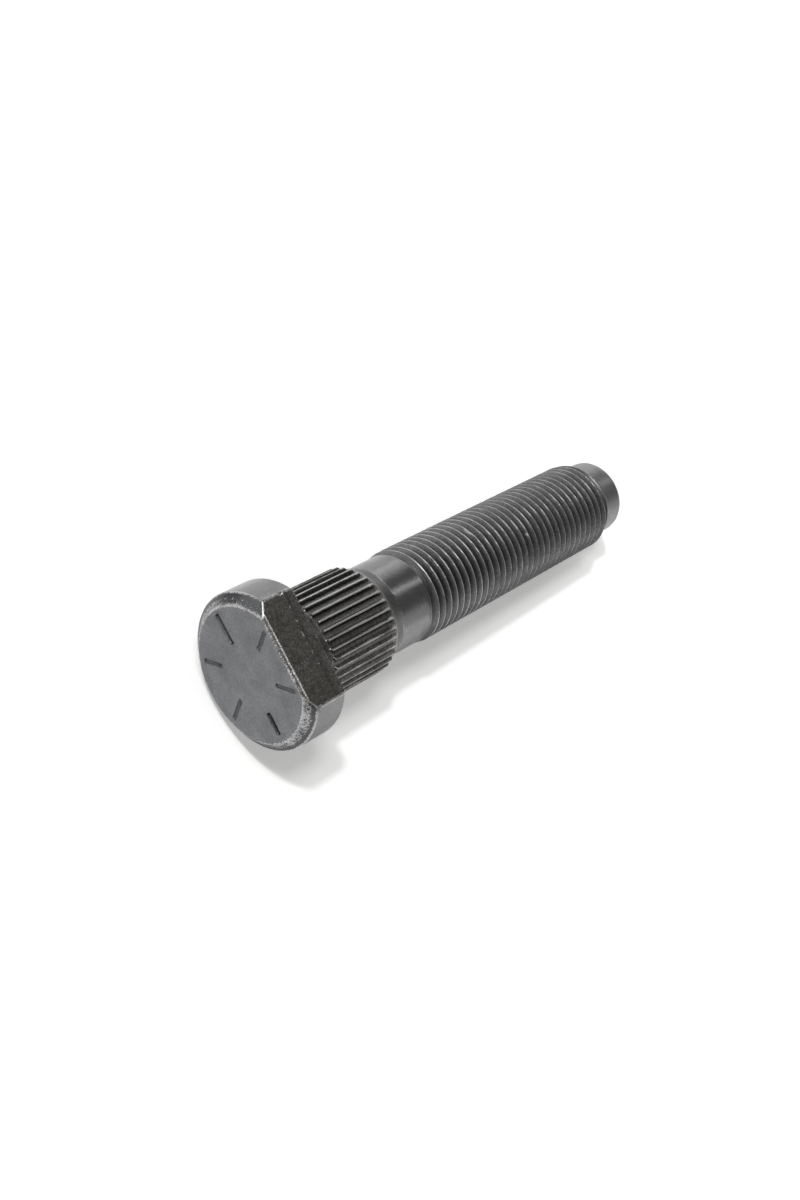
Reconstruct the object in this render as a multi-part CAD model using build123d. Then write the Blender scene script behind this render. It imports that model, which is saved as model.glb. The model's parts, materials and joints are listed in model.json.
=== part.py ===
"""Serrated wheel stud: a D head, a ribbed press-in collar, a plain shank, a thread blank and a dog point.

Lengths are in millimetres. The stud is drawn along +Y, with the head's front face at y = 0 and the flat of the
D facing +Z. It is then laid down the way it comes to rest on a table: on the rim of its head and the end of its
thread, with the lighter, trimmed side of the head uppermost.
"""
import os
from math import atan2, cos, degrees

from build123d import *

# Head
head_dia = 22.4
head_height = 6.35
head_face_dia = 19.4
head_rim_depth = 1.2
head_face_edge_round = 0.3
head_back_chamfer = 0.25
flat_offset = 8.25
flat_bevel_along = 0.5
flat_bevel_across = 0.3

# Strength grade strokes pressed into the head's face
stroke_count = 6
stroke_inner_radius = 5.05
stroke_length = 3.6
stroke_width = 0.7
stroke_depth = 0.35
stroke_corner = 0.15
stroke_first_angle = 30.0

# Ribbed collar, pressed into the hub
under_head_fillet = 0.7
collar_dia = 14.9
collar_length = 14.15
collar_cone_length = 2.2
rib_count = 36
rib_crest_dia = 15.88
rib_crest_width = 0.22
rib_foot_width = 0.62
rib_start_gap = 1.75
rib_end_taper = 0.2

# Shank
shank_dia = 13.6
shank_end = 28.2

# Thread, 18 turns to the inch on a 9/16 inch diameter, drawn as a plain cylinder over its crests
thread_dia = 14.29
thread_runout = 0.9
thread_length = 43.8
thread_cone_length = 1.95

# Dog point
dog_dia = 12.0
dog_length = 3.9
dog_end_round = 0.6

# Places along the stud that follow from the sizes above
collar_end = head_height + collar_length
collar_cone_end = collar_end + collar_cone_length
thread_start = shank_end + thread_runout
thread_end = thread_start + thread_length
dog_start = thread_end + thread_cone_length
stud_end = dog_start + dog_length
rib_start = head_height + rib_start_gap


def turned_blank():
    """The head and stem as one turned form, before the ribs, the flat and the strokes."""
    head_radius = head_dia / 2
    outline = Polyline(
        (0, 0),
        (head_face_dia / 2, 0),
        (head_radius, head_rim_depth),
        (head_radius, head_height - head_back_chamfer),
        (head_radius - head_back_chamfer, head_height),
        (collar_dia / 2, head_height),
        (collar_dia / 2, collar_end),
        (shank_dia / 2, collar_cone_end),
        (shank_dia / 2, shank_end),
        (thread_dia / 2, thread_start),
        (thread_dia / 2, thread_end),
        (dog_dia / 2, dog_start),
        (dog_dia / 2, stud_end),
        (0, stud_end),
        close=True,
    )
    section = make_face(outline)
    rounds = [
        (head_face_dia / 2, 0, head_face_edge_round),
        (collar_dia / 2, head_height, under_head_fillet),
        (dog_dia / 2, stud_end, dog_end_round),
    ]
    for radius, along, size in rounds:
        corner = section.vertices().sort_by_distance((radius, along, 0))[0]
        section = fillet(corner, size)
    return revolve(section, Axis.Y)


def rib_ring():
    """Straight ribs standing on the collar, with their ends tapered down to it."""
    foot_radius = collar_dia / 2 * cos(rib_foot_width / collar_dia)
    rib_root = foot_radius - (rib_crest_dia - collar_dia) / 4
    rib_top = rib_crest_dia / 2 + rib_crest_width
    flank = (rib_foot_width - rib_crest_width) / (rib_crest_dia - collar_dia)

    def half_width(radius):
        return rib_foot_width / 2 - flank * (radius - collar_dia / 2)

    tooth_outline = Polyline(
        (half_width(rib_root), rib_root),
        (rib_crest_width / 2, rib_crest_dia / 2),
        (rib_crest_width / 2, rib_top),
        (-rib_crest_width / 2, rib_top),
        (-rib_crest_width / 2, rib_crest_dia / 2),
        (-half_width(rib_root), rib_root),
        close=True,
    )
    across = Plane(origin=(0, rib_start, 0), x_dir=(1, 0, 0), z_dir=(0, 1, 0))
    tooth = make_face(tooth_outline)
    half_pitch = 180 / rib_count
    turns = [half_pitch * (2 * number + 1) for number in range(rib_count)]
    ribs = [extrude(across * Rot(Z=turn) * tooth, collar_end - rib_start) for turn in turns]
    envelope = revolve(
        make_face(
            Polyline(
                (0, rib_start),
                (collar_dia / 2, rib_start),
                (rib_crest_dia / 2, rib_start + rib_end_taper),
                (rib_crest_dia / 2, collar_end - rib_end_taper),
                (collar_dia / 2, collar_end),
                (0, collar_end),
                close=True,
            )
        ),
        Axis.Y,
    )
    return [rib & envelope for rib in ribs]


def flat_cutter():
    """What is trimmed off one side of the round head, with the bevel along the flat's front edge."""
    margin = head_rim_depth
    bevel_rise = flat_bevel_across / flat_bevel_along
    clear_of_head = head_dia / 2 + margin
    outline = Polyline(
        (head_height, flat_offset),
        (flat_bevel_along, flat_offset),
        (-margin, flat_offset - bevel_rise * (flat_bevel_along + margin)),
        (-margin, clear_of_head),
        (head_height, clear_of_head),
        close=True,
    )
    return extrude(Plane.YZ * make_face(outline), head_dia, both=True)


def stroke_cutters():
    """Short radial strokes, evenly spaced about the axis, with the flat midway between two of them."""
    face = Plane(origin=(0, 0, 0), x_dir=(1, 0, 0), z_dir=(0, 1, 0))
    reach = stroke_inner_radius + stroke_length / 2
    cutters = []
    for number in range(stroke_count):
        angle = stroke_first_angle + number * 360 / stroke_count
        stroke = Rot(Z=angle) * Pos(0, reach) * RectangleRounded(stroke_width, stroke_length, stroke_corner)
        cutters.append(extrude(face * stroke, stroke_depth))
    return cutters


def wheel_stud():
    """The whole stud as one solid, still along +Y."""
    stud = turned_blank() + rib_ring()
    stud = stud - flat_cutter()
    return stud - stroke_cutters()


def laid_down(stud):
    """The stud at rest, centred over the origin with its lowest points on z = 0."""
    drop = (head_dia - thread_dia) / 2
    span = thread_end - (head_height - head_back_chamfer)
    tilt = degrees(atan2(drop, span))
    lying = Rot(X=-tilt) * stud
    box = lying.bounding_box()
    return Pos(-box.center().X, -box.center().Y, -box.min.Z) * lying


os.makedirs("parts", exist_ok=True)
export_step(laid_down(wheel_stud()), "parts/wheel_stud.step")
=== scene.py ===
"""Wheel stud dressed for the photograph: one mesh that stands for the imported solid, its finishes, light and camera.

Sizes are in millimetres on the stud's own axes until `placed` turns them into the frame's metres:
x across the flat, s along the stud from the head's face, and n out of the flat.
An angle round the stud is measured from the middle of the flat towards +X.
"""
import bisect
import json
import math
import random

import bmesh
import bpy
from mathutils import Matrix, Vector, noise
from mathutils.geometry import delaunay_2d_cdt


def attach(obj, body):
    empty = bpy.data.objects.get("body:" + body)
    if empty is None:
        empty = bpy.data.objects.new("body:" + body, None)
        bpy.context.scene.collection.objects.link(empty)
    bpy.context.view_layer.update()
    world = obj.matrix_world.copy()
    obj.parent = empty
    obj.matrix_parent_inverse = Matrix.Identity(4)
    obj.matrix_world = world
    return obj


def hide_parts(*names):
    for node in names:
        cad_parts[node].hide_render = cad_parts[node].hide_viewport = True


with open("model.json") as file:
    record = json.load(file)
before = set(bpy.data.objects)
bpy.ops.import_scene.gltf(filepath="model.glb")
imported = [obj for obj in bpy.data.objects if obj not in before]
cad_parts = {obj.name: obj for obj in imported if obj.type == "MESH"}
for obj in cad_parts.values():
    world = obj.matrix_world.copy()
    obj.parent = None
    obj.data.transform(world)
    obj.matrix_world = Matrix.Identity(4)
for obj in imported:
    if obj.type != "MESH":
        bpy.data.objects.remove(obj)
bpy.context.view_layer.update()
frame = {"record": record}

# Sizes of the stud, the same as the solid's
face_radius = 9.7
head_radius = 11.2
head_rim = 1.2
head_height = 6.35
head_back_chamfer = 0.25
flat_offset = 8.25
flat_bevel_along = 0.5
flat_bevel_across = 0.3
neck_fillet = 0.7
collar_radius = 7.45
collar_end = 20.5
collar_cone_end = 22.7
rib_count = 36
rib_crest_radius = 7.94
rib_crest_width = 0.22
rib_foot_width = 0.62
rib_start = 8.1
shank_radius = 6.8
shank_end = 28.2
thread_radius = 7.145
thread_start = 29.1
thread_end = 72.9
thread_pitch = 25.4 / 18
dog_radius = 6.0
dog_start = 74.85
stud_end = 78.75
dog_end_round = 0.6

# Grade strokes on the face: angle from the flat, inner and outer end, width and how dark each is made, which also sets
# how deep it is pressed
strokes = [
    (32, 4.9, 8.4, 0.66, 0.47),
    (91, 5.4, 8.55, 0.84, 0.84),
    (151, 4.8, 8.75, 0.68, 0.45),
    (211.5, 5.2, 8.65, 0.66, 0.42),
    (269, 4.6, 9.0, 0.84, 0.74),
    (331, 4.85, 8.35, 0.66, 0.41),
]
stroke_depth = 0.35

# Knocks on the thread's crests: place along the stud, angle from the flat, size
knocks = [(41.9, -33, 0.95), (52.3, 4, 0.32), (36.1, -32, 0.6), (40.4, -33, 0.5), (60.2, -21, 0.32)]

# Mesh fineness
head_flat_columns = 90
head_arc_columns = 190
stem_columns = 216
thread_rows = [0.045, 0.095, 0.26, 0.42, 0.58, 0.74, 0.905, 0.955]

forged, sheared, ribbed, smooth, rolled, satin = range(6)

thread_mount = next(m for m in frame["record"]["mounts"] if m["name"] == "thread")
along_axis = Vector(thread_mount["axis"]).normalized()
across_axis = Vector((1, 0, 0))
flat_axis = across_axis.cross(along_axis)
face_centre = Vector(thread_mount["pos_m"]) - along_axis * (thread_start + thread_end) / 2000

points = []
bare_and_highlight_values = []
soot_and_shade_values = []
faces = []
finish = []


def placed(x, s, n):
    """A spot on the stud, in the frame's metres."""
    return face_centre + (across_axis * x + along_axis * s + flat_axis * n) / 1000


def bump(distance, width):
    """A soft hill: 1 at distance 0, fading over the width."""
    return math.exp(-((distance / width) ** 2))


def ease(value, low, high):
    """0 below low, 1 above high and a smooth step between."""
    t = min(max((value - low) / (high - low), 0.0), 1.0)
    return t * t * (3 - 2 * t)


def wander(x, s, n, size, seed=0):
    """Smooth chance value from -1 to 1 that changes over about `size` millimetres."""
    return noise.noise(Vector((x / size + 31 * seed, s / size - 17 * seed, n / size + 7 * seed)))


def lower_of(a, b, blend):
    """The smaller of two values, with the change-over rounded."""
    h = max(blend - abs(a - b), 0.0) / blend
    return min(a, b) - h * h * blend / 4


def painted_side_shade(s, angle):
    """Painted shade on the side of the stud round from +X to below, and a faint band of painted shade along the dog
    point.
    """
    shaded_side = ease(angle, math.radians(48), math.radians(80)) * ease(-angle, -math.radians(150), -math.radians(110))
    painted_dog_shade = 0.22 * bump(angle + math.radians(22), 0.24) * ease(s, dog_start - 0.3, dog_start + 0.3)
    return 0.56 * shaded_side * (1 - ease(s, thread_end, dog_start)) + painted_dog_shade


def ring(spots, bare_and_highlight=None, soot_and_shade=None):
    """Adds a row of spots, with how bare each is (worn metal, and in places a painted highlight) and how dark (soot,
    and in places painted shade), and gives back their numbers.
    """
    first = len(points)
    points.extend(spots)
    bare_and_highlight_values.extend(bare_and_highlight or [0.0] * len(spots))
    soot_and_shade_values.extend(soot_and_shade or [0.0] * len(spots))
    return list(range(first, len(points)))


def band(near, far, looks):
    """Quads between two rows that run round the stud, each with its column's finish."""
    count = len(near)
    for j in range(count):
        k = (j + 1) % count
        faces.append((near[j], near[k], far[k], far[j]))
        finish.append(looks[j] if isinstance(looks, list) else looks)


def round_ring(s, radius, count=stem_columns, bare_and_highlight=0.0, soot_and_shade=0.0):
    """A plain round row."""
    angles = [math.tau * j / count for j in range(count)]
    spots = [(radius * math.sin(angle), s, radius * math.cos(angle)) for angle in angles]
    # Each spot of the row takes the painted shade on the side from +X to below.
    return ring(spots, [bare_and_highlight] * count, [max(soot_and_shade, painted_side_shade(s, angle)) for angle in angles])


def softened(corners):
    """A profile with each corner (s, value, cut) rounded off over its cut."""
    line = [corners[0][:2]]
    for before, (s, value, cut), after in zip(corners, corners[1:], corners[2:]):
        corner = Vector((s, value))
        start = corner + (Vector(before[:2]) - corner).normalized() * cut
        stop = corner + (Vector(after[:2]) - corner).normalized() * cut
        for step in range(5):
            t = step / 4
            spot = start * (1 - t) ** 2 + corner * 2 * t * (1 - t) + stop * t * t
            line.append((spot.x, spot.y))
    line.append(corners[-1][:2])
    return line


def read(line, s):
    """The profile's value at s."""
    places = [spot[0] for spot in line]
    i = min(max(bisect.bisect_right(places, s), 1), len(line) - 1)
    (s0, v0), (s1, v1) = line[i - 1], line[i]
    return v0 if s1 - s0 < 1e-9 else v0 + (v1 - v0) * (s - s0) / (s1 - s0)


def inside(loop, x, n):
    """Whether a place across the stud lies within a closed loop of numbered spots."""
    crossings = 0
    for first, second in zip(loop, loop[1:] + loop[:1]):
        (x0, _, n0), (x1, _, n1) = points[first], points[second]
        if (n0 > n) != (n1 > n) and x < x0 + (n - n0) * (x1 - x0) / (n1 - n0):
            crossings += 1
    return crossings % 2 == 1


def fill(outer, holes, spare, look):
    """Triangles across the stud, inside one closed loop of numbered spots and outside others."""
    loops = [outer] + holes
    numbers = [number for loop in loops for number in loop] + spare
    flat_spots = [Vector((points[number][0], points[number][2])) for number in numbers]
    edges = []
    first = 0
    for loop in loops:
        count = len(loop)
        edges.extend((first + i, first + (i + 1) % count) for i in range(count))
        first += count
    _, _, triangles, origin, _, _ = delaunay_2d_cdt(flat_spots, edges, [], 0, 1e-7)
    for triangle in triangles:
        own = [numbers[origin[i][0]] for i in triangle]
        x = sum(points[number][0] for number in own) / 3
        n = sum(points[number][2] for number in own) / 3
        if inside(outer, x, n) and not any(inside(hole, x, n) for hole in holes):
            faces.append(tuple(own))
            finish.append(look)


# Head

head_round = softened([
    (0, 9.0, 0), (0, face_radius, 0.11), (head_rim, head_radius, 0.14),
    (head_height - head_back_chamfer, head_radius, 0.07),
    (head_height, head_radius - head_back_chamfer, 0.07), (head_height, 9.0, 0),
])[1:-1]
head_flat = softened([
    (0, 7.0, 0), (0, flat_offset - flat_bevel_across, 0.07), (flat_bevel_along, flat_offset, 0.07),
    (head_height, flat_offset, 0.05), (head_height, 7.0, 0),
])[1:-1]


def shear_line(x):
    """Where the trimmed flat breaks away, towards the back of the head."""
    return 4.52 + 0.05 * math.sin(x * 0.9) + 0.05 * wander(x, 0, 0, 0.7)


def torn_crumbs():
    """Crumbs along the break: place across the flat, place along the stud, size and height."""
    chance = random.Random(11)
    crumbs = []
    for number in range(33):
        x = -7.1 + 0.39 * number + chance.uniform(-0.2, 0.2)
        crumbs.append((x, shear_line(x) + chance.uniform(-0.14, 0.14), chance.uniform(0.08, 0.28), chance.uniform(0.3, 1)))
    return crumbs


crumbs = torn_crumbs()


def shear_dot(x, s):
    """How much of a torn crumb stands at a place on the flat."""
    nearest = round((x + 7.1) / 0.39)
    heights = [strong * bump(math.hypot(x - place, s - along), size)
               for place, along, size, strong in crumbs[max(nearest - 1, 0):nearest + 2]]
    return max(heights, default=0.0)


def head_spot(s, angle, corner_angle):
    """One spot on the head's side, with its bare metal, which changes round the head as a painted highlight, and its
    darkening, which is painted shade on the rim cone and on the side from +X to below.
    """
    radius = read(head_round, s)
    offset = read(head_flat, s)
    x = offset * math.tan(angle) if math.cos(angle) > 0.2 else 99.0
    on_flat = abs(x) < 9
    if on_flat:
        offset -= 0.04 * ease(s - shear_line(x), -0.06, 0.1) * ease(6.5 - abs(x - 0.2), -0.3, 0.4)
        offset += 0.07 * shear_dot(x, s)
        offset -= 0.25 * bump(x + 7.45, 0.22) * bump(s - 4.25, 0.3)
        offset += 0.012 * wander(x, s, 0, 1.1)
        radius = lower_of(offset / math.cos(angle), radius, 0.12 + 0.5 * bump(s - 0.85, 0.5))
    radius += 0.01 * wander(radius * math.sin(angle), s, radius * math.cos(angle), 2.0, 2)
    from_corner = head_radius * (abs(angle) - corner_angle)
    left = ease(-math.sin(angle), -0.2, 0.7)
    right = ease(math.sin(angle), 0.0, 0.8)
    low = ease(-math.cos(angle), 0.1, 0.8)
    patchy = 0.15 * wander(head_radius * math.sin(angle), 0.4 * s, head_radius * math.cos(angle), 1.6, 11)
    if from_corner > 0:
        on_cone = ease(s, -0.1, 0.1) * ease(-s, -1.15, -0.5)
        brow = bump(angle + math.radians(70), 0.3)
        cheek = bump(angle + math.radians(106), 0.34)
        # Rubbed edges and cone, with painted highlight in how much shows round the head: less below, and more on the
        # cone towards +X and at the cheek low on the -X side.
        bare_and_highlight = max((0.54 + 0.05 * left - 0.15 * low) * bump(s, 0.24), (0.74 - 0.2 * low) * bump(s - head_rim, 0.15),
                   (0.3 + 0.18 * right + 0.24 * cheek) * (1 - 0.5 * low * (1 - cheek)) * on_cone, 0.36 * bump(s - head_height + 0.12, 0.16))
        # Painted shade on the rim cone: heavier below and at the brow, lighter to -X and +X.
        soot_and_shade = (0.6 + 0.15 * low - 0.35 * left - 0.1 * right + 0.45 * brow) * ease(s, 0.05, 0.3) * ease(-s, -1.2, -0.95)
        # Painted shade on the head's side round from +X to below.
        soot_and_shade = max(soot_and_shade, painted_side_shade(s, angle) * (1 + 0.35 * ease(angle, 1.3, 1.6)) * ease(s, 1.2, 1.5))
    else:
        bare_and_highlight = max(0.5 * bump(s, 0.15), 0.66 * bump(s - flat_bevel_along, 0.14), 0.46 * bump(s - head_height, 0.18),
                   0.85 * shear_dot(x, s), 0.17)
        # The flat is darker in a band just behind the break and along its front bevel.
        soot_and_shade = 0.32 * bump(s - shear_line(x) - 0.35, 0.35)
        soot_and_shade = max(soot_and_shade, 0.45 * ease(s, 0.1, 0.2) * ease(-s, -0.42, -0.3))
    bare_and_highlight += patchy * min(2 * bare_and_highlight, 1)
    # Bare along the flat's corners, worn and also a painted highlight there.
    bare_and_highlight = max(bare_and_highlight, (0.68 + patchy) * bump(from_corner, 0.25))
    return (radius * math.sin(angle), s, radius * math.cos(angle)), bare_and_highlight, soot_and_shade


def head_row(s):
    """A row round the head whose columns follow the flat's two corners."""
    corner = math.acos(min(read(head_flat, s) / read(head_round, s), 1))
    half_chord = read(head_flat, s) * math.tan(corner)
    angles = []
    close = [0.0, 0.06, 0.14, 0.25, 0.4, 0.6]
    for side in (-1, 1):
        row = [half_chord - gap for gap in close]
        last = row[-1]
        inner = head_flat_columns // 2 - len(close)
        row += [last * (1 - (i + 1) / (inner + 1)) for i in range(inner)]
        row = [side * math.atan2(x, read(head_flat, s)) for x in row]
        angles += row if side < 0 else row[::-1]
    reach = math.tau - 2 * corner
    near = [gap / head_radius for gap in close[1:]]
    inner = head_arc_columns - 2 * len(near)
    middle = [near[-1] + (reach - 2 * near[-1]) * (i + 1) / (inner + 1) for i in range(inner)]
    arc = near + middle + [reach - gap for gap in near[::-1]]
    angles += [corner + step for step in arc]
    angles = [a if a <= math.pi else a - math.tau for a in angles]
    spots = [head_spot(s, a, corner) for a in angles]
    return ring(*zip(*spots))


def head_places():
    """Every place along the head where a row is wanted."""
    wanted = [spot[0] for spot in head_round] + [spot[0] for spot in head_flat]
    wanted += [0.25, 0.38, 0.62, 0.8, 0.95, 1.5, 1.9, 2.4, 2.9, 3.4, 3.8, 4.05]
    wanted += [4.2 + 0.07 * i for i in range(12)] + [5.2, 5.5, 5.8]
    chosen = []
    for s in sorted(wanted):
        if not chosen or s - chosen[-1] > 0.0035:
            chosen.append(s)
    return chosen


def stroke_loop(angle, inner, outer, width, grow, s):
    """The outline of one grade stroke, grown by a little, at depth s."""
    half_long = (outer - inner) / 2 + grow
    half_wide = width / 2 + grow
    corner = max(0.17 + grow, 0.03)
    middle = (inner + outer) / 2
    turn = math.radians(angle)
    out = (math.sin(turn), math.cos(turn))
    spots = []
    for quarter, (a, b) in enumerate(((1, 1), (-1, 1), (-1, -1), (1, -1))):
        for step in range(5):
            bend = math.radians(90 * quarter + 22.5 * step)
            u = a * (half_long - corner) + corner * math.cos(bend)
            w = b * (half_wide - corner) + corner * math.sin(bend)
            spots.append((u, w))
        u, w = spots[-1]
        v, z = ((-a * (half_long - corner), w) if quarter % 2 == 0 else (u, -b * (half_wide - corner)))
        steps = 8 if quarter % 2 == 0 else 2
        spots += [(u + (v - u) * i / steps, w + (z - w) * i / steps) for i in range(1, steps)]
    return [((middle + u) * out[0] + w * out[1], s, (middle + u) * out[1] - w * out[0]) for u, w in spots]


def inside_stroke(spot, margin):
    for angle, inner, outer, width, _ in strokes:
        turn = math.radians(angle)
        u = spot[0] * math.sin(turn) + spot[1] * math.cos(turn)
        w = spot[0] * math.cos(turn) - spot[1] * math.sin(turn)
        if inner - margin < u < outer + margin and abs(w) < width / 2 + margin:
            return True
    return False


def build_face(edge):
    """The head's front: flat, softly uneven, with the six strokes pressed into it."""
    shrink = [(1 - 0.12 / math.hypot(points[i][0], points[i][2])) for i in edge]
    inset = ring([(points[i][0] * k, 0.0, points[i][2] * k) for i, k in zip(edge, shrink)], [0.3] * len(edge))
    band(inset, edge, forged)
    holes = []
    for angle, inner, outer, width, dark in strokes:
        deep = stroke_depth * (0.42 + 0.58 * dark)
        levels = [(0.13, 0.0, 0.0, 0.0), (0.08, -0.015, 0.3, 0.0), (0.02, 0.015, 0.22, 0.3 * dark),
                  (-0.04, 0.35 * deep, 0.0, 0.85 * dark), (-0.09, 0.77 * deep, 0.0, dark), (-0.15, deep, 0.0, dark)]
        rings = []
        for grow, s, bare_and_highlight, soot_and_shade in levels:
            loop = stroke_loop(angle, inner, outer, width, grow, s)
            rings.append(ring(loop, [bare_and_highlight] * len(loop), [soot_and_shade] * len(loop)))
        for near, far in zip(rings, rings[1:]):
            band(near, far, forged)
        faces.append(tuple(rings[-1]))
        finish.append(forged)
        holes.append(rings[0])
    grid, worn_and_highlight = [], []
    step = 0.36
    for row in range(-32, 33):
        for column in range(-32, 33):
            x = (column + row % 2 / 2) * step
            n = row * step * 0.866
            to_edge = min(face_radius - math.hypot(x, n), flat_offset - flat_bevel_across - n)
            if to_edge > 0.32 and not inside_stroke((x, n), 0.32):
                grid.append((x, 0.012 * wander(x, 0, n, 2.6) + 0.006 * wander(x, 0, n, 0.9), n))
                worn_and_highlight.append(0.12 + 0.12 * wander(x, 0, n, 2.2, 8) + 0.16 * bump(to_edge, 0.5))
    fill(inset, holes, ring(grid, worn_and_highlight), forged)


def build_head():
    """Front face, rim, flat, side and back, down to the neck's fillet."""
    places = head_places()
    rows = [head_row(s) for s in places]
    columns = len(rows[0])
    for s, near, far in zip(places, rows, rows[1:]):
        side = forged if s < head_rim + 0.08 else smooth
        band(near, far, [sheared if j < head_flat_columns - 1 else side for j in range(columns)])
    build_face(rows[0])
    foot_radius = collar_radius + neck_fillet - 0.05
    foot = round_ring(head_height, foot_radius)
    fill(rows[-1], [foot], [], forged)
    return foot


# Stem

def rib_height(turn):
    """How far a rib stands up, turn degrees away from its middle."""
    crest = math.degrees(rib_crest_width / 2 / rib_crest_radius)
    root = math.degrees(rib_foot_width / 2 / collar_radius)
    rise = 1 - min(max((abs(turn) - crest) / (root - crest), 0.0), 1.0)
    return (rib_crest_radius - collar_radius) * rise


def build_collar(near):
    """The neck's fillet, the straight ribs and the cone behind them."""
    # The neck's fillet and the ring before the ribs are made darker.
    for step in range(1, 6):
        turn = math.radians(90 * step / 5)
        far = round_ring(head_height + neck_fillet * (1 - math.cos(turn)),
                         collar_radius + neck_fillet * (1 - math.sin(turn)), soot_and_shade=0.55)
        band(near, far, ribbed)
        near = far
    far = round_ring(rib_start - 0.4, collar_radius, soot_and_shade=0.5)
    band(near, far, ribbed)
    near = far
    spread = [-5, -3.6, -2.45, -1.6, -0.85, -0.4, 0, 0.4, 0.85, 1.6, 2.45, 3.6]
    columns = rib_count * len(spread)
    chance = random.Random(4)
    lives = [(chance.uniform(0.93, 1.0), chance.uniform(-0.12, 0.1), chance.uniform(-0.1, 0.1))
             for _ in range(rib_count)]
    places = [rib_start - 0.18, rib_start, rib_start + 0.05, rib_start + 0.11, rib_start + 0.2, rib_start + 0.34]
    places += [rib_start + 0.6 + 1.25 * i for i in range(9)]
    places += [collar_end - 0.62, collar_end - 0.45, collar_end - 0.3, collar_end - 0.15, collar_end, collar_end + 0.15]
    rows = []
    for s in places:
        spots, bare_and_highlight, soot_and_shade = [], [], []
        for number in range(rib_count):
            tall, early, late = lives[number]
            for turn in spread:
                angle = math.radians(5 + 10 * number + turn)
                end = ease(s - early, rib_start - 0.02, rib_start + 0.2)
                end *= 1 - ease(s - late, collar_end - 0.6, collar_end)
                high = rib_height(turn) * tall * end
                radius = collar_radius + high
                if s > collar_end:
                    radius -= (s - collar_end) * (collar_radius - shank_radius) / (collar_cone_end - collar_end)
                x, n = radius * math.sin(angle), radius * math.cos(angle)
                radius += 0.02 * wander(x, s, n, 0.8) * min(high * 3, 1)
                spots.append((radius * math.sin(angle), s, radius * math.cos(angle)))
                crest = bump(turn, 1.35) * end
                nose = bump(s - rib_start - 0.12 - early, 0.14) + bump(s - collar_end + 0.5 - late, 0.2)
                round_side = (angle + math.pi) % math.tau - math.pi
                low = ease(round_side, 0.25, 0.8)
                # Worn crests, with painted highlight in how bright they are: strongest just to the -X side of the flat,
                # less round towards +X, and most at the rib ends.
                rub_and_highlight = 0.66 + 0.3 * bump(round_side + 0.15, 0.45) - 0.2 * low + 0.4 * nose + 0.35 * wander(x, s, n, 1.1, 3)
                bare_and_highlight.append(max(crest * min(rub_and_highlight, 1.0), 0.12))
                # Painted shade down one side of each rib and across its valley, narrower round towards +X.
                soot_and_shade.append((0.85 + 0.12 * bump(round_side + 0.1, 0.5)) * end * ease(turn % 10, 0.5, 1.2) * ease(-(turn % 10), 4.5 * low - 8.5, -1.5))
        rows.append(ring(spots, bare_and_highlight, soot_and_shade))
    for j in range(stem_columns):
        k = (j + 1) % stem_columns
        faces.append((near[j], near[k], rows[0][2 * k], rows[0][2 * j + 1], rows[0][2 * j]))
        finish.append(ribbed)
    for upper, lower in zip(rows, rows[1:]):
        band(upper, lower, ribbed)
    slope = (collar_radius - shank_radius) / (collar_cone_end - collar_end)
    far = round_ring(collar_end + 0.45, collar_radius - 0.45 * slope, soot_and_shade=0.42)
    for j in range(stem_columns):
        k = (j + 1) % stem_columns
        faces.append((rows[-1][2 * j], rows[-1][2 * j + 1], rows[-1][2 * k], far[k], far[j]))
        finish.append(smooth)
    return far


def build_shank(near):
    """The rest of the cone and the plain shank."""
    line = softened([
        (collar_end + 0.45, collar_radius - 0.45 * (collar_radius - shank_radius) / (collar_cone_end - collar_end), 0),
        (collar_cone_end, shank_radius, 0.16), (shank_end, shank_radius, 0),
    ])
    places = [21.4, 21.9, 22.4] + [spot[0] for spot in line[1:-1]] + [23.1, 23.8, 24.8, 25.8, 26.8]
    for s in sorted(places):
        # The cone's foot gets a pale line, worn bare and a painted highlight along that edge; the cone itself is
        # darker.
        far = round_ring(s, read(line, s), bare_and_highlight=0.5 * bump(s - collar_cone_end, 0.1), soot_and_shade=0.42 * ease(-s, -22.9, -22.5))
        band(near, far, smooth)
        near = far
    return near


def thread_depth(part):
    """Depth below the crest at a share of the pitch, with a flat crest, straight flanks and a rounded root."""
    away = abs((part + 0.5) % 1 - 0.5)
    return 0.613 * thread_pitch * min(max(away - 0.06, 0.0) / 0.36, 1.0)


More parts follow.
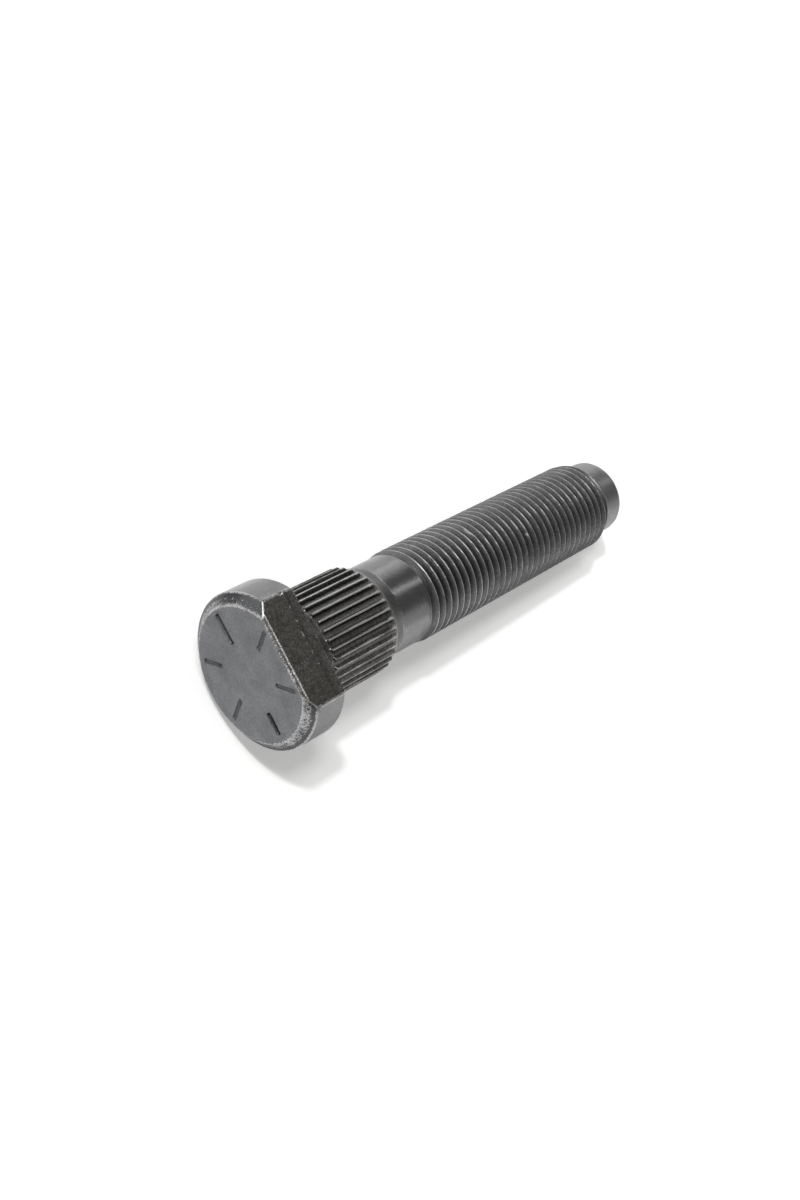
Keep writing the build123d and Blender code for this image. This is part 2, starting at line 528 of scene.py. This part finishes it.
def thread_spot(s, angle, part):
    """One spot of the rolled thread, with its run-in, its end cone, its knocks, its bare metal (paler on the -X side as
    a painted highlight) and its painted shade in the roots and over the end cone.
    """
    depth = thread_depth(part)
    start = ease(s, thread_start - 0.9, thread_start + 0.8)
    crest = thread_radius - 0.5 * (1 - start) * (thread_radius - shank_radius) - depth
    plain = shank_radius + (thread_radius - shank_radius) * ease(s, shank_end - 0.2, thread_start) * 0.2
    radius = plain + (crest - plain) * start
    cone = thread_radius - (thread_radius - dog_radius) * (s - thread_end) / (dog_start - thread_end)
    radius = lower_of(radius, max(cone, dog_radius) if s < dog_start + 0.5 else dog_radius, 0.1)
    x, n = radius * math.sin(angle), radius * math.cos(angle)
    top = ease(-depth, -0.14, -0.01) * start * ease(thread_end + 0.5 - s, 0, 0.4)
    fresh = 1 - ease(s, 34, 56)
    left = ease(-angle, 0.2, 0.7) * ease(angle, -1.3, -0.9)
    # Worn crests, paler on the -X side as a painted highlight.
    bare_and_highlight = top * (0.46 + 0.08 * fresh + 0.07 * left + 0.12 * wander(x, s, n, 1.8, 5))
    bare_and_highlight = max(bare_and_highlight, top * 0.8 * bump(s - 29.6, 0.8) * bump(angle + math.radians(24), 0.3))
    for place, turn, size in knocks:
        away = math.hypot(s - place, thread_radius * (angle - math.radians(turn)))
        if away < 3 * size:
            radius -= 0.14 * bump(away, size * 0.6) * top
            bare_and_highlight = max(bare_and_highlight, 1.2 * bump(away, size) * ease(-depth, -0.4, -0.1))
    radius += 0.012 * top * wander(x, s, n, 0.5, 6)
    # Painted shade in the roots, heaviest round the middle of the flat, lightest a little to -X and lighter towards +X;
    # the side from +X to below takes painted shade as well.
    soot_and_shade = (0.55 + 0.2 * fresh) * ease(depth, 0.1, 0.45) * start * ease(-s, -dog_start, -thread_end)
    soot_and_shade *= 1 - 0.9 * ease(-angle, 0.2, 0.6) + 0.5 * ease(-angle, 0.95, 1.25) - 0.55 * ease(angle, 0.2, 0.6)
    # Painted shade over the end cone.
    soot_and_shade = max(soot_and_shade, 0.35 * ease(s, thread_end - 0.6, thread_end + 0.3) * ease(-s, -dog_start, -dog_start + 0.5))
    return (radius * math.sin(angle), s, radius * math.cos(angle)), bare_and_highlight, max(soot_and_shade, painted_side_shade(s, angle + 0.12))


def stem_finish(s):
    """Smooth on the shank, rolled on the thread and satin on the dog point."""
    return smooth if s < thread_start - 0.5 else rolled if s < thread_end + 0.9 else satin


def build_thread(near):
    """The rolled right-hand thread, as rows that follow its own helix, from one plain ring to another."""
    per_turn = len(thread_rows)
    turns = 35
    columns = []
    for j in range(stem_columns):
        angle = math.tau * j / stem_columns
        angle = angle if angle <= math.pi else angle - math.tau
        column = []
        for turn in range(turns):
            for part in thread_rows:
                s = 27.05 + thread_pitch * (turn + part + j / stem_columns)
                column.append(thread_spot(s, angle, part))
        columns.append(ring(*zip(*column)))
    rows = len(columns[0])
    for j in range(stem_columns - 1):
        for i in range(rows - 1):
            faces.append((columns[j][i], columns[j + 1][i], columns[j + 1][i + 1], columns[j][i + 1]))
            finish.append(stem_finish(points[columns[j][i]][1]))
    last = columns[-1]
    seam = columns[0]
    for i in range(rows - per_turn - 1):
        faces.append((last[i], seam[i + per_turn], seam[i + per_turn + 1], last[i + 1]))
        finish.append(stem_finish(points[last[i]][1]))
    for j in range(stem_columns - 1):
        faces.append((near[j], near[j + 1], columns[j + 1][0], columns[j][0]))
        finish.append(smooth)
    faces.append((near[-1], near[0], *seam[: per_turn + 1], last[0]))
    finish.append(smooth)
    stop = max(points[column[-1]][1] for column in columns) + 0.05
    far = round_ring(stop, dog_radius)
    for j in range(stem_columns - 1):
        faces.append((columns[j][-1], columns[j + 1][-1], far[j + 1], far[j]))
        finish.append(satin)
    faces.append((far[-1], *last[: rows - per_turn - 2 : -1], seam[-1], far[0]))
    finish.append(satin)
    return far, stop


def build_dog(near, start):
    """The plain end, rounded over to its end face."""
    places = [(start + (stud_end - dog_end_round - start) * i / 3, dog_radius) for i in range(1, 4)]
    for step in range(1, 6):
        turn = math.radians(18 * step)
        places.append((stud_end - dog_end_round * (1 - math.sin(turn)), dog_radius - dog_end_round * (1 - math.cos(turn))))
    places += [(stud_end, radius) for radius in (5.3, 4.2, 2.8, 1.4, 0.5)]
    for s, radius in places:
        far = round_ring(s, radius)
        band(near, far, satin)
        near = far
    faces.append(tuple(near))
    finish.append(satin)


def build_stud():
    """The whole stud as one closed mesh."""
    foot = build_head()
    neck = build_collar(foot)
    shank = build_shank(neck)
    dog, start = build_thread(shank)
    build_dog(dog, start)
    mesh = bpy.data.meshes.new("wheel_stud_skin")
    mesh.from_pydata([placed(*spot) for spot in points], [], faces)
    mesh.polygons.foreach_set("material_index", finish)
    mesh.attributes.new("bare_and_highlight", "FLOAT", "POINT").data.foreach_set("value", bare_and_highlight_values)
    mesh.attributes.new("soot_and_shade", "FLOAT", "POINT").data.foreach_set("value", soot_and_shade_values)
    work = bmesh.new()
    work.from_mesh(mesh)
    bmesh.ops.recalc_face_normals(work, faces=work.faces)
    work.to_mesh(mesh)
    work.free()
    mesh.shade_smooth()
    mesh.set_sharp_from_angle(angle=math.radians(50))
    stud = bpy.data.objects.new("stud_skin", mesh)
    bpy.context.scene.collection.objects.link(stud)
    return stud


stud = build_stud()
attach(stud, "root")
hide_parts("wheel_stud")


# Finishes

def linear(code):
    """A hex colour as linear light."""
    parts = [int(code[i:i + 2], 16) / 255 for i in (1, 3, 5)]
    return [c / 12.92 if c <= 0.04045 else ((c + 0.055) / 1.055) ** 2.4 for c in parts] + [1.0]


def add(tree, kind, settings=None, links=None, **values):
    """Adds a node, sets its fields, fills its sockets and links other nodes' outputs to them."""
    node = tree.nodes.new(kind)
    for name, value in (settings or {}).items():
        setattr(node, name, value)
    for name, value in values.items():
        node.inputs[name.replace("_", " ")].default_value = value
    for socket, source in (links or {}).items():
        tree.links.new(source, node.inputs[socket])
    return node


def phosphated_steel(name, coat, pale, rough, grit, breakup, relief):
    """Phosphated steel: a dull crystalline grey coat over steel, rubbed to bare metal where it is handled. The vertex
    bare value, which is wear and in places a painted highlight, turns it to pale bare metal; the vertex dark value,
    which is soot and in places painted shade, darkens the coat and its edge reflection.
    """
    material = bpy.data.materials.new(name)
    material.use_nodes = True
    tree = material.node_tree
    tree.nodes.clear()
    spot = add(tree, "ShaderNodeTexCoord").outputs["Object"]
    clouds = add(tree, "ShaderNodeTexNoise", links={"Vector": spot}, Scale=1000 / 2.4, Detail=3.0)
    grain = add(tree, "ShaderNodeTexNoise", links={"Vector": spot}, Scale=1000 / 0.3, Detail=3.0, Roughness=0.65)
    crumbs = add(tree, "ShaderNodeTexNoise", links={"Vector": spot}, Scale=1000 / 0.25, Detail=4.0, Roughness=0.75)
    bare_and_highlight = add(tree, "ShaderNodeAttribute", {"attribute_name": "bare_and_highlight"})
    soot_and_shade = add(tree, "ShaderNodeAttribute", {"attribute_name": "soot_and_shade"})
    coat_tone = add(tree, "ShaderNodeMapRange", links={0: clouds.outputs[0]})
    coat_tone.inputs[1].default_value = 0.3
    coat_tone.inputs[2].default_value = 0.7
    coat_mix = add(tree, "ShaderNodeMix", {"data_type": "RGBA"}, {0: coat_tone.outputs[0]})
    coat_mix.inputs["A"].default_value = linear(coat)
    coat_mix.inputs["B"].default_value = linear(pale)
    gritty = add(tree, "ShaderNodeMapRange", links={0: grain.outputs[0]})
    gritty.inputs[1].default_value = 0.3
    gritty.inputs[2].default_value = 0.7
    gritty.inputs[3].default_value = 1 - grit
    gritty.inputs[4].default_value = 1 + grit
    # Darkening from the vertex dark value, which is soot in places and painted shade in others; it also darkens the
    # edge reflection through Specular Tint.
    soot_and_shade_darkening = add(tree, "ShaderNodeMath", {"operation": "MULTIPLY_ADD"}, {0: soot_and_shade.outputs["Fac"]})
    soot_and_shade_darkening.inputs[1].default_value = -0.85
    soot_and_shade_darkening.inputs[2].default_value = 1.0
    shade = add(tree, "ShaderNodeMath", {"operation": "MULTIPLY"}, {0: gritty.outputs[0], 1: soot_and_shade_darkening.outputs[0]})
    coat_shade = add(tree, "ShaderNodeVectorMath", {"operation": "SCALE"}, {0: coat_mix.outputs["Result"], "Scale": shade.outputs[0]})
    # Pale bare metal from the vertex bare value, which is wear and in places a painted highlight.
    broken = add(tree, "ShaderNodeMath", {"operation": "MULTIPLY_ADD"}, {0: crumbs.outputs[0], 2: bare_and_highlight.outputs["Fac"]})
    broken.inputs[1].default_value = breakup
    worn_and_highlight = add(tree, "ShaderNodeMapRange", {"interpolation_type": "SMOOTHSTEP"}, {0: broken.outputs[0]})
    worn_and_highlight.inputs[1].default_value = 0.4 + 0.5 * breakup
    worn_and_highlight.inputs[2].default_value = 0.58 + 0.5 * breakup
    colour = add(tree, "ShaderNodeMix", {"data_type": "RGBA"}, {0: worn_and_highlight.outputs[0], "A": coat_shade.outputs[0]})
    colour.inputs["B"].default_value = linear("#bababa")
    roughness = add(tree, "ShaderNodeMapRange", links={0: grain.outputs[0]})
    roughness.inputs[3].default_value = rough - 0.06
    roughness.inputs[4].default_value = rough + 0.06
    uneven = add(tree, "ShaderNodeBump", links={"Height": grain.outputs[0]}, Strength=relief, Distance=0.00006)
    shader = add(tree, "ShaderNodeBsdfPrincipled", links={
        "Base Color": colour.outputs["Result"], "Roughness": roughness.outputs[0], "Normal": uneven.outputs[0],
        "Specular Tint": soot_and_shade_darkening.outputs[0],
    }, Metallic=0.92)
    add(tree, "ShaderNodeOutputMaterial", links={"Surface": shader.outputs[0]})
    return material


for material in (
    phosphated_steel("forged phosphated steel", "#6d6e71", "#7e7f82", 0.42, 0.18, 1.9, 0.35),
    phosphated_steel("sheared phosphated steel", "#5b5956", "#64625f", 0.48, 0.55, 2.0, 0.9),
    phosphated_steel("rolled rib steel", "#747372", "#7f7e7d", 0.38, 0.55, 1.3, 0.6),
    phosphated_steel("smooth phosphated steel", "#777778", "#7f7f80", 0.23, 0.16, 1.2, 0.32),
    phosphated_steel("rolled thread steel", "#7b7b7c", "#848485", 0.43, 0.3, 0.45, 0.4),
    phosphated_steel("satin phosphated steel", "#858586", "#8d8d8e", 0.38, 0.1, 1.2, 0.15),
):
    stud.data.materials.append(material)

# Floor, light and camera

floor_mesh = bpy.data.meshes.new("floor")
floor_mesh.from_pydata([(-4, -4, 0), (4, -4, 0), (4, 4, 0), (-4, 4, 0)], [], [(0, 1, 2, 3)])
floor = bpy.data.objects.new("floor", floor_mesh)
bpy.context.scene.collection.objects.link(floor)
paper = bpy.data.materials.new("white paper")
paper.use_nodes = True
sheet = paper.node_tree
sheet.nodes.clear()
ray = add(sheet, "ShaderNodeLightPath")
seen = add(sheet, "ShaderNodeMath", {"operation": "ADD"},
           {0: ray.outputs["Is Camera Ray"], 1: ray.outputs["Is Glossy Ray"]})
seen = add(sheet, "ShaderNodeMath", {"operation": "ADD", "use_clamp": True},
           {0: seen.outputs[0], 1: ray.outputs["Is Transmission Ray"]})
lift = add(sheet, "ShaderNodeMath", {"operation": "MULTIPLY"}, {0: seen.outputs[0]})
lift.inputs[1].default_value = 0.3
matt = add(sheet, "ShaderNodeBsdfDiffuse", Color=(0.95, 0.95, 0.95, 1))
bright = add(sheet, "ShaderNodeEmission", links={"Strength": lift.outputs[0]}, Color=(1, 1, 1, 1))
both = add(sheet, "ShaderNodeAddShader", links={0: matt.outputs[0], 1: bright.outputs[0]})
add(sheet, "ShaderNodeOutputMaterial", links={"Surface": both.outputs[0]})
floor_mesh.materials.append(paper)

world = bpy.data.worlds.new("studio")
bpy.context.scene.world = world
world.use_nodes = True
sky = world.node_tree
sky.nodes.clear()
way = add(sky, "ShaderNodeTexCoord").outputs["Generated"]
height = add(sky, "ShaderNodeSeparateXYZ", links={0: way}).outputs["Z"]
fade = add(sky, "ShaderNodeMapRange", {"interpolation_type": "SMOOTHSTEP"}, {0: height})
fade.inputs[1].default_value = 0.02
fade.inputs[2].default_value = 0.18
fade.inputs[3].default_value = 1.0
fade.inputs[4].default_value = 0.165
glow = add(sky, "ShaderNodeBackground", links={"Strength": fade.outputs[0]}, Color=(1, 0.98, 0.94, 1))
add(sky, "ShaderNodeOutputWorld", links={"Surface": glow.outputs[0]})


def lamp(name, way, power, spread):
    """A far lamp: the way to it, its light on a facing sheet and how wide it looks in degrees."""
    light = bpy.data.objects.new(name, bpy.data.lights.new(name, "SUN"))
    light.data.energy = power
    light.data.angle = math.radians(spread)
    light.rotation_euler = Vector(way).to_track_quat("Z", "Y").to_euler()
    bpy.context.scene.collection.objects.link(light)


def panel(name, place, wide, tall, glow):
    """A soft light panel facing the stud, with its brightness, 1 being white paper."""
    light = bpy.data.objects.new(name, bpy.data.lights.new(name, "AREA"))
    light.data.shape = "RECTANGLE"
    light.data.size = wide
    light.data.size_y = tall
    light.data.energy = glow * math.pi * wide * tall
    light.matrix_world = Matrix.Translation(place) @ Vector(place).to_track_quat("Z", "Y").to_matrix().to_4x4()
    light.visible_camera = False
    bpy.context.scene.collection.objects.link(light)


lamp("key", (-0.5, -0.42, 1.0), 1.2, 4)
lamp("ceiling", (-0.32, -0.3, 1.0), 0.85, 12)
panel("left panel", (-0.44, 0.41, 0.11), 0.5, 0.26, 0.95)
panel("right panel", (0.44, 0.41, 0.17), 0.5, 0.36, 0.6)
panel("strip", (-0.12, 0.43, 0.4), 0.05, 0.4, 2.5)

camera_place = Vector((-1.052, -132.778, 162.144)) / 1000
camera_target = Vector((0.42, -10.28, 10.43)) / 1000
camera_roll = 63.118
camera = bpy.data.objects.new("camera", bpy.data.cameras.new("camera"))
camera.data.sensor_fit = "VERTICAL"
camera.data.sensor_height = 36
camera.data.lens = 40.93
camera.data.clip_start = 0.005
aim = (camera_target - camera_place).to_track_quat("-Z", "Y").to_matrix().to_4x4()
camera.matrix_world = Matrix.Translation(camera_place) @ aim @ Matrix.Rotation(math.radians(camera_roll), 4, "Z")
bpy.context.scene.collection.objects.link(camera)
bpy.context.scene.camera = camera

bpy.context.scene.view_settings.view_transform = "Standard"
